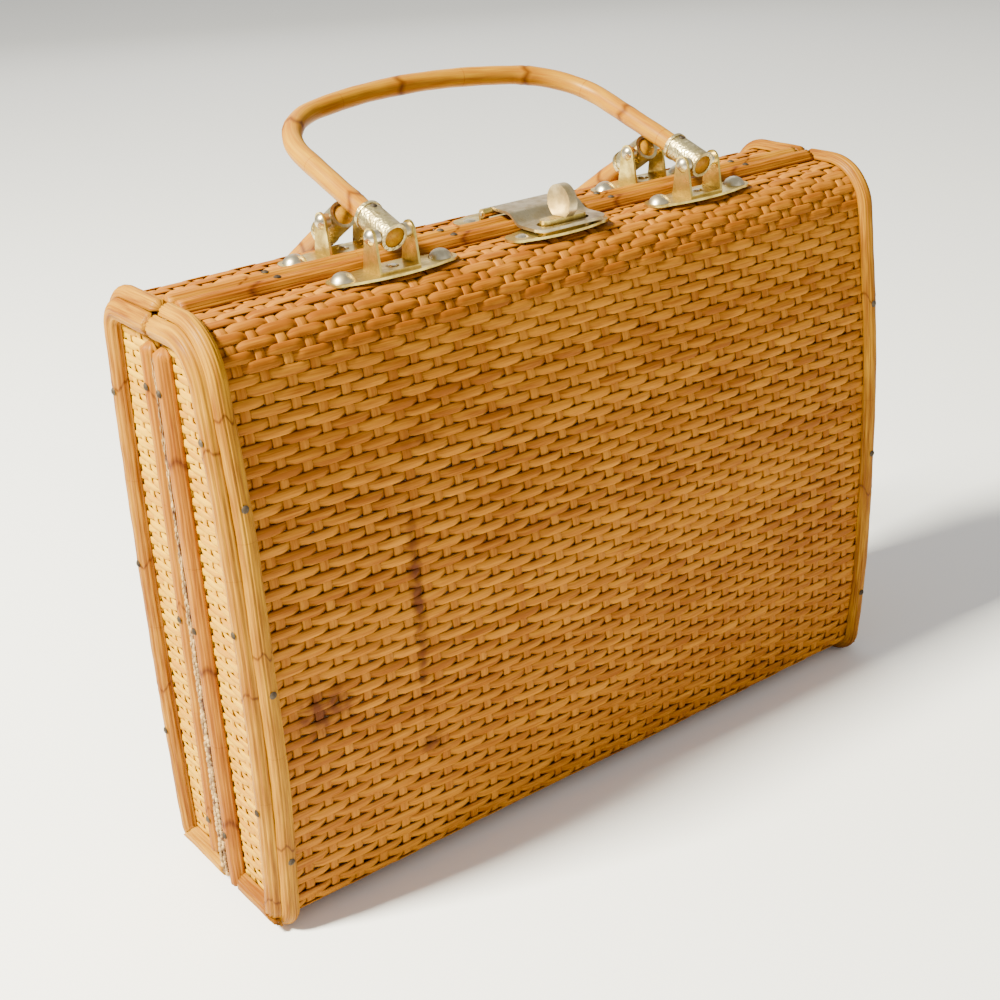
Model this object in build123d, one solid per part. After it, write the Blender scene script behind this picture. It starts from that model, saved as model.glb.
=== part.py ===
from build123d import *
import math
import os

# Clamshell basket handbag of woven cane: two trays hinged along the bottom.
# Millimetres. X runs along the length, +Y is the rear tray, +Z is up.
# The origin is on the ground, midway along the line where the two trays meet.

# ---- overall size ----
shell_length = 330.0        # over the two woven end walls
top_z = 243.0               # outside of the woven top
bottom_z = 3.6              # outside of the woven bottom
rim_gap = 1.5               # from the meeting plane to each tray's rim

# ---- outline of each tray, seen from the end ----
front_bulge = 44.3          # furthest reach of the front face
front_bulge_z = 95.0
front_face_radius = 980.0
front_corner_radius = 20.0
rear_bulge = 42.0
rear_bulge_z = 120.0
rear_face_radius = 1800.0
rear_corner_radius = 12.0
bottom_corner_radius = 9.0

# ---- cane and frame ----
mat_thickness = 2.2
face_pole_width = 7.5
face_pole_height = 3.8
end_pole_width = 9.0
end_pole_height = 4.5
rim_pole_width = 8.0
rim_pole_height = 4.0
rim_pole_top_offset = 0.5   # rim pole's inner edge from the meeting plane, at the top
rim_pole_low_offset = 2.8   # the same at the bottom, where the poles spread for the hinges
hoop_width = 7.0            # inner rim hoop, across the rim
hoop_height = 5.4
frame_rod_radius = 2.6
batten_thickness = 3.9
batten_margin = 1.5         # batten's outer edge past the plates
batten_half_length = 112.0
lining_thickness = 1.0
braid_thickness = 1.0
braid_width = 4.6
smallest_bend = 0.1         # corners tighter than this are left sharp
seat_gap = 0.15             # clearance between parts that are laid against each other
lining_rim_gap = 0.3        # lining's edge behind the meeting side of the rim
braid_margin = 0.4          # braid's outer edge inside the woven wall
rim_pole_end_gap = 2.0      # end rim pole's top below the end pole
front_rim_foot_gap = 0.4    # front end rim pole's foot above the woven bottom

# ---- nails ----
nail_shank_radius = 0.6
nail_head_radius = 1.5
nail_head_height = 0.7
nail_length = 7.0
nail_clearance = 0.05       # round the shank
nail_tip_gap = 0.3          # hole beyond the tip
end_pole_nail_z = (58.0, 134.0, top_z - 37.0)
face_pole_nail_z = (36.0, 110.0, top_z - 61.0)
rim_pole_nail_z = (30.0, 122.0, top_z - 27.0)
top_rim_nail_x = (118.0, 40.0)

# ---- handle fittings ----
handle_spacing = 154.0      # between the two fittings of one handle
fitting_y = 17.0            # fitting's centre line from the meeting plane
plate_thickness = 1.0
plate_half_length = 28.0
plate_half_width = 8.2
plate_shoulder_x = 22.0
plate_shoulder_y = 5.4
rivet_spacing = 43.0
rivet_shank_radius = 1.5
rivet_head_radius = 4.7
rivet_head_height = 3.2
rivet_tail_radius = 2.6
rivet_tail_height = 0.9
hole_clearance = 0.05
clevis_thickness = 1.0
clevis_foot_width = 11.5
clevis_rivet_head_radius = 2.6
clevis_rivet_head_height = 0.8
ear_tip_radius = 3.6
pivot_clearance = 7.2       # under the ferrule's lip when the handle is level
pivot_radius = 1.6
pivot_head_radius = 3.0
pivot_head_height = 1.7
pivot_running_gap = 0.08
washer_radius = 2.8
washer_length = 2.5
washer_side_gap = 0.1
press_gap = 0.02            # between parts that are pressed together

# ---- handles ----
rod_radius = 4.1
ferrule_wall = 1.3
ferrule_lip_rise = 0.4
ferrule_lip_length = 1.6
ferrule_length = 18.0
ferrule_overhang = 3.2      # open end past the pivot
rod_setback = 0.4           # rod's end inside the ferrule
handle_side_reach = 20.0    # pivot to where the sides start to lean
handle_shoulder_reach = 88.0
handle_shoulder_half = 75.5
handle_crown_reach = 108.7  # where the two straight halves of the crown would meet
handle_side_radius = 120.0
handle_shoulder_radius = 36.0
handle_crown_radius = 170.0
handle_rest_gap = 0.25      # front handle over the rear ferrules it lies back on
corner_rest_gap = 0.5035    # rear handle over the top corner that it hangs over
ferrule_nail_radius = 1.3
ferrule_nail_head_height = 0.6
ferrule_nail_shank = 0.5
ferrule_nail_depth = 3.0
ferrule_nail_setback = 3.2  # from the ferrule's lip end

# ---- turn lock ----
lock_plate_x = 0.9          # middle of the two plates
knob_x = 4.0
hasp_x = 5.0
lock_plate_half_length = 24.6
lock_shoulder_x = 19.2
lock_rivet_spacing = 35.2
lock_rivet_head_radius = 2.7
lock_rivet_head_height = 0.9
boss_length = 22.0
boss_width = 5.2
boss_height = 4.2
knob_radius = 6.9
knob_thickness = 4.0
knob_flat_depth = 1.2       # cut off the bottom of the disc
knob_neck_radius = 1.6
knob_neck_gap = 0.08
knob_gap = 0.15
knob_neck_seat = 0.6        # foot of the neck above the plate's top
hasp_width = 35.0
hasp_thickness = 1.2
hasp_slot_length = 24.5
hasp_slot_width = 7.6
hasp_hinge_y = 8.2
hasp_rim_clearance = 2.2    # under the hasp, over the rim poles
hasp_knuckle_radius = 1.9
hasp_knuckle_length = 4.1
hasp_knuckle_gap = 0.4
hasp_web_thickness = 1.2
hasp_pin_radius = 0.9
hasp_pin_overhang = 0.5
hasp_step_rear_y = -1.5
hasp_step_front_y = -11.5
hasp_front_y = -23.6
hasp_corner_radius = 4.5
hasp_float = 1.1            # hasp's front above the lock plate

# ---- bottom hinges ----
hinge_x = 88.0
hinge_length = 24.0
hinge_z = 2.2
hinge_barrel_radius = 2.0
hinge_pin_radius = 0.95
hinge_pin_gap = 0.06
hinge_leaf_thickness = 0.7
hinge_leaf_top = 13.5
hinge_knuckle_gap = 0.3
hinge_seat_gap = 0.05
hinge_notch_gap = 0.5       # round the leaf, in the braid
hinge_pin_overhang = 0.4
hinge_nail_spacing = 14.0
hinge_nail_length = 5.5
hinge_nail_head_radius = 1.2
hinge_nail_head_height = 0.35

half_length = shell_length / 2
inner_half_length = half_length - mat_thickness
face_pole_x = half_length - face_pole_width / 2
lining_inset = mat_thickness + hoop_height + seat_gap
plate_z = top_z
batten_underside = top_z - mat_thickness - seat_gap / 2 - batten_thickness
plate_top_z = plate_z + plate_thickness
nail_hole_radius = nail_shank_radius + nail_clearance
rivet_hole_radius = rivet_shank_radius + hole_clearance
ferrule_radius = rod_radius + ferrule_wall
ferrule_lip_radius = ferrule_radius + ferrule_lip_rise
clevis_gap = 2 * (ferrule_radius + washer_side_gap + washer_length)
pivot_height = ferrule_lip_radius + pivot_clearance
pivot_z = plate_top_z + pivot_height
ferrule_corner = math.hypot(ferrule_radius, ferrule_overhang)
handle_rise = rod_radius + ferrule_corner + handle_rest_gap
front_handle_angle = math.degrees(math.asin(handle_rise / (2 * fitting_y)))
hasp_underside = top_z + rim_pole_height + hasp_rim_clearance
hasp_hinge_z = hasp_underside + hasp_thickness - hasp_knuckle_radius
lock_rivets_x = (lock_plate_x - lock_rivet_spacing / 2, lock_plate_x + lock_rivet_spacing / 2)
hinge_nail_z = bottom_z + mat_thickness + hoop_height / 2


class Outline:
    """Section of one tray: flat top, rounded corner, bowed face, rounded foot, flat bottom."""

    def __init__(self, bulge, bulge_z, face_radius, corner_radius):
        self.bulge_z = bulge_z
        self.face_radius = face_radius
        self.corner_radius = corner_radius
        self.face_centre_u = bulge - face_radius
        self.corner = self.arc_centre(top_z - corner_radius, corner_radius)
        self.foot = self.arc_centre(bottom_z + bottom_corner_radius, bottom_corner_radius)

    def arc_centre(self, z, radius):
        reach = self.face_radius - radius
        u = self.face_centre_u + math.sqrt(reach ** 2 - (z - self.bulge_z) ** 2)
        return (u, z)

    def face_u(self, z, inset=0.0):
        radius = self.face_radius - inset
        return self.face_centre_u + math.sqrt(radius ** 2 - (z - self.bulge_z) ** 2)

    def on_face(self, centre, inset):
        du = centre[0] - self.face_centre_u
        dz = centre[1] - self.bulge_z
        length = math.hypot(du, dz)
        radius = self.face_radius - inset
        return (self.face_centre_u + radius * du / length, self.bulge_z + radius * dz / length)

    def bend(self, centre, radius, inset, level, flat_deg):
        """Rounded corner between a flat at z = level and the face: its two ends and its edges."""
        if radius < smallest_bend:
            sharp = (self.face_u(level, inset), level)
            return sharp, sharp, []
        flat_end = (centre[0], level)
        face_end = self.on_face(centre, inset)
        face_deg = math.degrees(math.atan2(face_end[1] - centre[1], face_end[0] - centre[0]))
        middle = math.radians((flat_deg + face_deg) / 2)
        on_bend = (centre[0] + radius * math.cos(middle), centre[1] + radius * math.sin(middle))
        return flat_end, face_end, [ThreePointArc(flat_end, on_bend, face_end)]

    def wires(self, inset, u_start, u_end):
        top = top_z - inset
        low = bottom_z + inset
        top_flat, top_face, top_bend = self.bend(self.corner, self.corner_radius - inset, inset, top, 90)
        low_flat, low_face, low_bend = self.bend(self.foot, bottom_corner_radius - inset, inset, low, -90)
        face_mid = (self.face_u(self.bulge_z, inset), self.bulge_z)
        edges = [Line((u_start, top), top_flat)]
        edges.extend(top_bend)
        edges.append(ThreePointArc(top_face, face_mid, low_face))
        edges.extend(low_bend)
        edges.append(Line(low_flat, (u_end, low)))
        return edges

    def path(self, inset, u_start, u_end):
        return Plane.YZ * Wire(self.wires(inset, u_start, u_end))

    def region(self, inset, u_rim):
        edges = self.wires(inset, u_rim, u_rim)
        edges.append(Line((u_rim, bottom_z + inset), (u_rim, top_z - inset)))
        return make_face(Wire(edges))


front_outline = Outline(front_bulge, front_bulge_z, front_face_radius, front_corner_radius)
rear_outline = Outline(rear_bulge, rear_bulge_z, rear_face_radius, rear_corner_radius)

# The rear handle hangs back over the rear tray's top corner.
corner_out = rear_outline.corner[0] - fitting_y
corner_up = rear_outline.corner[1] - pivot_z
corner_reach = rear_corner_radius + rod_radius + corner_rest_gap
corner_lean = math.asin(corner_reach / math.hypot(corner_out, corner_up))
rear_handle_angle = math.degrees(math.atan2(corner_up, corner_out) + corner_lean)


def slab(face, x_low, x_high):
    """A section drawn in Y and Z, extruded along X."""
    return extrude(Plane.YZ.offset(x_low) * face, x_high - x_low)


def half_round(width, height):
    """Section of a split pole: flat below, rounded above."""
    arc = ThreePointArc((-width / 2, 0), (0, height), (width / 2, 0))
    return make_face(Wire([arc, Line((width / 2, 0), (-width / 2, 0))]))


def block(x_low, x_high, y_low, y_high, z_low, z_high):
    body = Box(x_high - x_low, y_high - y_low, z_high - z_low)
    return Pos((x_low + x_high) / 2, (y_low + y_high) / 2, (z_low + z_high) / 2) * body


def round_bar(radius, start, end):
    start = Vector(*start)
    end = Vector(*end)
    direction = end - start
    plane = Plane(origin=start, z_dir=direction)
    return extrude(plane * Circle(radius), direction.length)


def dome(radius, height, base, direction):
    """A shallow domed head, its flat side at base, bulging along direction."""
    ball = (radius ** 2 + height ** 2) / (2 * height)
    arc = ThreePointArc((radius, 0), (ball * math.sin(math.asin(radius / ball) / 2),
                        height - ball + ball * math.cos(math.asin(radius / ball) / 2)), (0, height))
    face = make_face(Wire([Line((0, 0), (radius, 0)), arc, Line((0, height), (0, 0))]))
    solid = revolve(Plane.XZ * face, Axis.Z)
    return Plane(origin=base, z_dir=direction).location * solid


def both_ends(part):
    return [part, mirror(part, Plane.YZ)]


def headed_pin(head_base, direction, shank_radius, length, head_radius, head_height):
    """A nail or rivet: domed head standing out along direction, shank driven the other way."""
    axis = Vector(*direction).normalized()
    base = Vector(*head_base)
    tip = base - axis * length
    shank = round_bar(shank_radius, tuple(tip), tuple(base + axis * 0.2))
    return shank + dome(head_radius, head_height, tuple(base), tuple(axis))


# ------------------------------------------------------------------ trays

def pole_nails(outline):
    """Where each nail's head sits, and the way the head faces, for the right-hand end."""
    places = []
    rod_x = half_length + end_pole_height
    for z in end_pole_nail_z:
        places.append(((rod_x, outline.face_u(z, end_pole_width / 2), z), (1, 0, 0)))
    for z in face_pole_nail_z:
        slope = math.asin((z - outline.bulge_z) / outline.face_radius)
        u = outline.face_u(z) + face_pole_height * math.cos(slope)
        height = z + face_pole_height * math.sin(slope)
        places.append(((face_pole_x, u, height), (0, math.cos(slope), math.sin(slope))))
    for z in rim_pole_nail_z:
        places.append(((rod_x, rim_pole_centre_u(z), z), (1, 0, 0)))
    u_top = rim_pole_top_offset + rim_pole_width / 2
    for x in top_rim_nail_x:
        places.append(((x, u_top, top_z + rim_pole_height), (0, 0, 1)))
    return places


def rim_pole_centre_u(z):
    share = (top_z - z) / (top_z - bottom_z)
    inner_edge = rim_pole_top_offset + (rim_pole_low_offset - rim_pole_top_offset) * share
    return inner_edge + end_pole_width / 2


def nail_holes(places):
    holes = []
    for base, way in places:
        axis = Vector(*way)
        start = Vector(*base) + axis * 2
        end = Vector(*base) - axis * (nail_length + nail_tip_gap)
        hole = round_bar(nail_hole_radius, tuple(end), tuple(start))
        holes.extend(both_ends(hole))
    return holes


def woven_face(outline):
    section = outline.region(0, rim_gap) - outline.region(mat_thickness, rim_gap - 1)
    return slab(section, -inner_half_length, inner_half_length)


def woven_ends(outline):
    wall = slab(outline.region(0, rim_gap), inner_half_length, half_length)
    return both_ends(wall)


def face_pole(outline):
    """Split pole bent over the edge of the woven face, from the rim round to the bottom."""
    path = outline.path(0, rim_gap, rim_pole_low_offset + rim_pole_width + seat_gap)
    plane = Plane(origin=(0, rim_gap, top_z), x_dir=(1, 0, 0), z_dir=(0, -1, 0))
    pole = sweep(plane * half_round(face_pole_width, face_pole_height), path=path)
    pole = Pos(face_pole_x, 0, 0) * pole
    return pole & block(0, shell_length, 0, shell_length, 0, shell_length)


def end_pole(outline):
    """Split pole on the end wall, from the rim over the corner and down to a mitre."""
    inset = end_pole_width / 2
    edges = outline.wires(inset, rim_gap, rim_gap)[:2]
    edges.append(ThreePointArc(outline.on_face(outline.corner, inset),
                               (outline.face_u(outline.bulge_z, inset), outline.bulge_z),
                               (outline.face_u(0, inset), 0)))
    path = Pos(half_length, 0, 0) * (Plane.YZ * Wire(edges))
    plane = Plane(origin=(half_length, rim_gap, top_z - inset), x_dir=(0, 0, 1), z_dir=(0, 1, 0))
    pole = sweep(plane * half_round(end_pole_width, end_pole_height), path=path)
    return pole - mitre_block(outline)


def mitre_block(outline):
    """Everything below the mitre at the bottom corner of an end wall."""
    corner = outline.face_u(bottom_z)
    reach = 60.0
    corners = [(corner + 20, bottom_z - 20), (corner - reach, bottom_z + reach),
               (corner - reach, bottom_z - 20)]
    face = make_face(Wire([Line(corners[0], corners[1]), Line(corners[1], corners[2]),
                           Line(corners[2], corners[0])]))
    return slab(face, half_length - 1, half_length + 10)


def bottom_end_pole(outline, u_inner):
    """Short split pole along the bottom of an end wall, mitred to the end pole."""
    corner = outline.face_u(bottom_z)
    plane = Plane(origin=(half_length, u_inner, bottom_z + end_pole_width / 2), x_dir=(0, 0, 1),
                  z_dir=(0, 1, 0))
    pole = extrude(plane * half_round(end_pole_width, end_pole_height), corner + 5 - u_inner)
    return pole & mitre_block(outline)


def top_rim_pole():
    reach = half_length - face_pole_width - seat_gap
    u = rim_pole_top_offset + rim_pole_width / 2
    plane = Plane(origin=(-reach, u, top_z), x_dir=(0, 1, 0), z_dir=(1, 0, 0))
    return extrude(plane * half_round(rim_pole_width, rim_pole_height), 2 * reach)


def bottom_rim_pole():
    """Rim pole under the bottom, worn flat where the bag stands on it."""
    reach = half_length - face_pole_width - seat_gap
    u = rim_pole_low_offset + rim_pole_width / 2
    plane = Plane(origin=(-reach, u, bottom_z), x_dir=(0, -1, 0), z_dir=(1, 0, 0))
    pole = extrude(plane * half_round(rim_pole_width, rim_pole_height), 2 * reach)
    return pole & block(-shell_length, shell_length, 0, shell_length, 0, shell_length)


def end_rim_pole(z_low, z_high):
    """Split pole up the end wall beside the meeting plane."""
    low = Vector(half_length, rim_pole_centre_u(z_low), z_low)
    high = Vector(half_length, rim_pole_centre_u(z_high), z_high)
    plane = Plane(origin=low, x_dir=(0, -1, 0), z_dir=high - low)
    return extrude(plane * half_round(end_pole_width, end_pole_height), (high - low).length)


def rim_hoop():
    """Square-section hoop inside the rim, to which the poles are nailed."""
    inset = mat_thickness + seat_gap / 2
    x_out = half_length - inset
    z_low = bottom_z + inset
    z_high = top_z - inset
    outer = block(-x_out, x_out, rim_gap, rim_gap + hoop_width, z_low, z_high)
    inner = block(-x_out + hoop_height, x_out - hoop_height, 0, rim_gap + hoop_width + 1,
                  z_low + hoop_height, z_high - hoop_height)
    return outer - inner


def frame_rod(outline):
    """Round rod bent to the tray's outline, inside each end."""
    inset = mat_thickness + seat_gap + frame_rod_radius
    start = rim_gap + hoop_width + seat_gap
    path = outline.path(inset, start, start)
    x = inner_half_length - seat_gap - frame_rod_radius
    plane = Plane(origin=(x, start, top_z - inset), x_dir=(1, 0, 0), z_dir=(0, 1, 0))
    return sweep(plane * Circle(frame_rod_radius), path=Pos(x, 0, 0) * path)


def top_batten(outline):
    """Slat under the woven top that the plates are riveted through, its outer edge rounded off."""
    body = slab(outline.region(mat_thickness + seat_gap / 2, 0), -batten_half_length, batten_half_length)
    u_low = rim_gap + hoop_width + seat_gap
    u_high = fitting_y + plate_half_width + batten_margin
    return body & block(-shell_length, shell_length, u_low, u_high, batten_underside, top_z)


def lining(outline):
    reach = half_length - lining_inset
    outside = slab(outline.region(lining_inset, rim_gap + lining_rim_gap), -reach, reach)
    inside = slab(outline.region(lining_inset + lining_thickness, 0),
                  -reach + lining_thickness, reach - lining_thickness)
    return outside - inside


def braid():
    """Gimp braid round the rim hoop, notched for the hinge leaves."""
    inset = mat_thickness + braid_margin
    x_out = half_length - inset
    z_low = bottom_z + inset
    z_high = top_z - inset
    u_high = rim_gap - press_gap
    u_low = u_high - braid_thickness
    outer = block(-x_out, x_out, u_low, u_high, z_low, z_high)
    inner = block(-x_out + braid_width, x_out - braid_width, u_low - 1, u_high + 1,
                  z_low + braid_width, z_high - braid_width)
    half_notch = hinge_length / 2 + hinge_notch_gap
    notches = []
    for x in (-hinge_x, hinge_x):
        notches.append(block(x - half_notch, x + half_notch, u_low - 1, u_high + 1, 0,
                             hinge_leaf_top + hinge_notch_gap))
    return outer - inner - notches


# ------------------------------------------------------------------ handle fittings

def plate_outline(half_long, half_wide, shoulder_x, shoulder_y):
    corners = [(-shoulder_x, -shoulder_y), (shoulder_x, -shoulder_y),
               (shoulder_x, shoulder_y), (-shoulder_x, shoulder_y)]
    edges = [
        ThreePointArc(corners[0], (0, -half_wide), corners[1]),
        ThreePointArc(corners[1], (half_long, 0), corners[2]),
        ThreePointArc(corners[2], (0, half_wide), corners[3]),
        ThreePointArc(corners[3], (-half_long, 0), corners[0]),
    ]
    return make_face(Wire(edges))


def handle_plate(x):
    face = plate_outline(plate_half_length, plate_half_width, plate_shoulder_x, plate_shoulder_y)
    plate = Pos(x, fitting_y, plate_z) * extrude(face, plate_thickness)
    holes = [0.0, -rivet_spacing / 2, rivet_spacing / 2]
    for offset in holes:
        hole = round_bar(rivet_hole_radius, (x + offset, fitting_y, plate_z - 1),
                         (x + offset, fitting_y, plate_top_z + 1))
        plate = plate - hole
    return plate


def clevis(x):
    """Folded strip: a foot riveted to the plate and two ears that hold the pivot."""
    outer = clevis_gap / 2 + clevis_thickness
    foot = block(-outer, outer, -clevis_foot_width / 2, clevis_foot_width / 2, 0, clevis_thickness)
    half_foot = clevis_foot_width / 2
    tip = ear_tip_radius
    centre = pivot_height
    length = math.hypot(half_foot, centre)
    lean = math.atan2(half_foot, centre) - math.asin(tip / length)
    touch_y = tip * math.cos(lean)
    touch_z = centre + tip * math.sin(lean)
    ear_face = make_face(Wire([
        Line((-half_foot, 0), (half_foot, 0)),
        Line((half_foot, 0), (touch_y, touch_z)),
        ThreePointArc((touch_y, touch_z), (0, centre + tip), (-touch_y, touch_z)),
        Line((-touch_y, touch_z), (-half_foot, 0)),
    ]))
    ear = slab(ear_face, clevis_gap / 2, outer)
    body = foot + ear + mirror(ear, Plane.YZ)
    body = body - round_bar(pivot_radius + press_gap, (-outer - 1, 0, centre), (outer + 1, 0, centre))
    body = body - round_bar(rivet_hole_radius, (0, 0, -1), (0, 0, clevis_thickness + 1))
    return Pos(x, fitting_y, plate_top_z) * body


def through_rivet(x, head_z, head_radius, head_height):
    """Rivet through plate, woven top and batten, with a flattened tail inside."""
    tail_z = batten_underside
    start = (x, fitting_y, tail_z - 0.1)
    shank = round_bar(rivet_shank_radius, start, (x, fitting_y, head_z + 0.3))
    head = dome(head_radius, head_height, (x, fitting_y, head_z), (0, 0, 1))
    tail = round_bar(rivet_tail_radius, (x, fitting_y, tail_z - rivet_tail_height),
                     (x, fitting_y, tail_z))
    return shank + head + tail


def rivet_hole(x):
    return round_bar(rivet_hole_radius, (x, fitting_y, batten_underside - 1), (x, fitting_y, top_z + 1))


def pivot_pin(x):
    outer = clevis_gap / 2 + clevis_thickness
    shank = round_bar(pivot_radius, (x - outer, fitting_y, pivot_z), (x + outer, fitting_y, pivot_z))
    right = dome(pivot_head_radius, pivot_head_height, (x + outer, fitting_y, pivot_z), (1, 0, 0))
    left = dome(pivot_head_radius, pivot_head_height, (x - outer, fitting_y, pivot_z), (-1, 0, 0))
    return shank + right + left


def pivot_washers(x):
    inner_x = ferrule_radius + washer_side_gap
    outer_x = clevis_gap / 2
    ring = round_bar(washer_radius, (inner_x, 0, 0), (outer_x, 0, 0))
    ring = ring - round_bar(pivot_radius + press_gap, (inner_x - 1, 0, 0), (outer_x + 1, 0, 0))
    right = Pos(x, fitting_y, pivot_z) * ring
    left = Pos(x, fitting_y, pivot_z) * mirror(ring, Plane.YZ)
    return [right, left]


# ------------------------------------------------------------------ handles
# A handle is drawn flat, with its pivot line on X and its crown towards +Y.

def handle_rod():
    half = handle_spacing / 2
    start_y = -ferrule_overhang + rod_setback
    corners = [(-half, start_y), (-half, handle_side_reach), (-handle_shoulder_half, handle_shoulder_reach),
               (0, handle_crown_reach), (handle_shoulder_half, handle_shoulder_reach),
               (half, handle_side_reach), (half, start_y)]
    radii = [handle_side_radius, handle_shoulder_radius, handle_crown_radius, handle_shoulder_radius,
             handle_side_radius]
    path = FilletPolyline(*corners, radius=radii)
    plane = Plane(origin=(-half, start_y, 0), x_dir=(1, 0, 0), z_dir=(0, 1, 0))
    rod = sweep(plane * Circle(rod_radius), path=path)
    return rod - pivot_bores() - ferrule_nail_holes()


def pivot_bores():
    bores = []
    for x in (-handle_spacing / 2, handle_spacing / 2):
        bores.append(round_bar(pivot_radius + pivot_running_gap, (x - 10, 0, 0), (x + 10, 0, 0)))
    return bores


def ferrule_nail_y():
    return ferrule_length - ferrule_overhang - ferrule_nail_setback


def ferrule_nail_holes():
    holes = []
    for x in (-handle_spacing / 2, handle_spacing / 2):
        y = ferrule_nail_y()
        holes.append(round_bar(ferrule_nail_shank + nail_clearance, (x, y, ferrule_radius + 1),
                               (x, y, ferrule_radius - ferrule_nail_depth - nail_tip_gap)))
    return holes


def ferrules():
    """Metal sleeves on the ends of the rod, with a rolled lip at each mouth."""
    parts = []
    for x in (-handle_spacing / 2, handle_spacing / 2):
        y_low = -ferrule_overhang
        y_high = y_low + ferrule_length
        sleeve = round_bar(ferrule_radius, (x, y_low, 0), (x, y_high, 0))
        sleeve = sleeve + round_bar(ferrule_lip_radius, (x, y_high - ferrule_lip_length, 0), (x, y_high, 0))
        bore = round_bar(rod_radius + press_gap, (x, y_low - 1, 0), (x, y_high + 1, 0))
        parts.append(sleeve - bore - pivot_bores() - ferrule_nail_holes())
    return parts


def ferrule_nails():
    nails = []
    for x in (-handle_spacing / 2, handle_spacing / 2):
        nails.append(headed_pin((x, ferrule_nail_y(), ferrule_radius + press_gap), (0, 0, 1),
                                ferrule_nail_shank, ferrule_nail_depth, ferrule_nail_radius,
                                ferrule_nail_head_height))
    return nails


def place_handle(part, side, angle):
    turned = Rot(angle, 0, 0) * part
    return Pos(0, side * fitting_y, pivot_z) * turned


# ------------------------------------------------------------------ turn lock

def riveted_plate(side):
    """Boat-shaped plate on top of one tray, with its two rivet holes."""
    face = plate_outline(lock_plate_half_length, plate_half_width, lock_shoulder_x, plate_shoulder_y)
    plate = Pos(lock_plate_x, side * fitting_y, plate_z) * extrude(face, plate_thickness)
    for x in lock_rivets_x:
        plate = plate - round_bar(rivet_hole_radius, (x, side * fitting_y, plate_z - 1),
                                  (x, side * fitting_y, plate_top_z + 1))
    return plate


def lock_plate():
    """Plate on the front tray, with an oval boss that fills the hasp's slot."""
    boss = Pos(knob_x, -fitting_y, plate_top_z) * extrude(SlotOverall(boss_length, boss_width), boss_height)
    neck_hole = round_bar(knob_neck_radius + knob_neck_gap,
                          (knob_x, -fitting_y, plate_top_z + knob_neck_seat / 2),
                          (knob_x, -fitting_y, plate_top_z + boss_height + 1))
    return riveted_plate(-1) + boss - neck_hole


def turn_knob():
    """Thumb knob: an upright disc on a short neck that turns in the boss."""
    base_z = plate_top_z + boss_height + knob_gap
    disc_z = base_z + knob_radius - knob_flat_depth
    disc = round_bar(knob_radius, (-knob_thickness / 2, 0, disc_z), (knob_thickness / 2, 0, disc_z))
    disc = disc & block(-knob_radius, knob_radius, -knob_radius, knob_radius, base_z,
                        base_z + 2 * knob_radius)
    neck = round_bar(knob_neck_radius, (0, 0, plate_top_z + knob_neck_seat), (0, 0, base_z + knob_flat_depth))
    return Pos(knob_x, -fitting_y, 0) * (disc + neck)


def hasp_base():
    """Rear plate with the two outer knuckles of the hasp's hinge."""
    reach = hasp_width / 2 + hasp_knuckle_gap + hasp_knuckle_length
    web_rear = hasp_hinge_y + hasp_knuckle_radius
    web_front = web_rear - hasp_web_thickness
    body = riveted_plate(1) + block(hasp_x - reach, hasp_x + reach, web_front, fitting_y - rivet_hole_radius,
                                    plate_z, plate_top_z)
    for x_low in (hasp_x - reach, hasp_x + reach - hasp_knuckle_length):
        x_high = x_low + hasp_knuckle_length
        knuckle = round_bar(hasp_knuckle_radius, (x_low, hasp_hinge_y, hasp_hinge_z),
                            (x_high, hasp_hinge_y, hasp_hinge_z))
        web = block(x_low, x_high, web_front, web_rear, plate_z, hasp_hinge_z)
        body = body + knuckle + web
    bore = round_bar(hasp_pin_radius + press_gap, (hasp_x - reach - 1, hasp_hinge_y, hasp_hinge_z),
                     (hasp_x + reach + 1, hasp_hinge_y, hasp_hinge_z))
    return body - bore


def hasp_pin():
    reach = hasp_width / 2 + hasp_knuckle_gap + hasp_knuckle_length + hasp_pin_overhang
    return round_bar(hasp_pin_radius, (hasp_x - reach, hasp_hinge_y, hasp_hinge_z),
                     (hasp_x + reach, hasp_hinge_y, hasp_hinge_z))


def step_curve(z_rear, z_front):
    """Smooth step down from the rear of the hasp to its front."""
    middle = (hasp_step_rear_y + hasp_step_front_y) / 2
    return Bezier((hasp_step_rear_y, z_rear), (middle, z_rear), (middle, z_front),
                  (hasp_step_front_y, z_front))


def hasp_plate():
    """Sheet curled round its pin at the rear, stepped down to lie round the boss in front."""
    rear_low = hasp_underside
    rear_high = rear_low + hasp_thickness
    front_low = plate_top_z + hasp_float
    front_high = front_low + hasp_thickness
    section = make_face(Wire([
        Line((hasp_hinge_y, rear_high), (hasp_step_rear_y, rear_high)),
        step_curve(rear_high, front_high),
        Line((hasp_step_front_y, front_high), (hasp_front_y, front_high)),
        Line((hasp_front_y, front_high), (hasp_front_y, front_low)),
        Line((hasp_front_y, front_low), (hasp_step_front_y, front_low)),
        step_curve(rear_low, front_low),
        Line((hasp_step_rear_y, rear_low), (hasp_hinge_y, rear_low)),
        Line((hasp_hinge_y, rear_low), (hasp_hinge_y, rear_high)),
    ]))
    left = hasp_x - hasp_width / 2
    right = hasp_x + hasp_width / 2
    sheet = slab(section, left, right)
    corners = sheet.edges().filter_by(Axis.Z).group_by(Axis.Y)[0]
    sheet = fillet(corners, hasp_corner_radius)
    knuckle = round_bar(hasp_knuckle_radius, (left, hasp_hinge_y, hasp_hinge_z),
                        (right, hasp_hinge_y, hasp_hinge_z))
    slot = Pos(knob_x, -fitting_y, front_low - 1) * extrude(
        SlotOverall(hasp_slot_length, hasp_slot_width), hasp_thickness + 2)
    bore = round_bar(hasp_pin_radius + pivot_running_gap, (left - 1, hasp_hinge_y, hasp_hinge_z),
                     (right + 1, hasp_hinge_y, hasp_hinge_z))
    return sheet + knuckle - slot - bore


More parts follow.
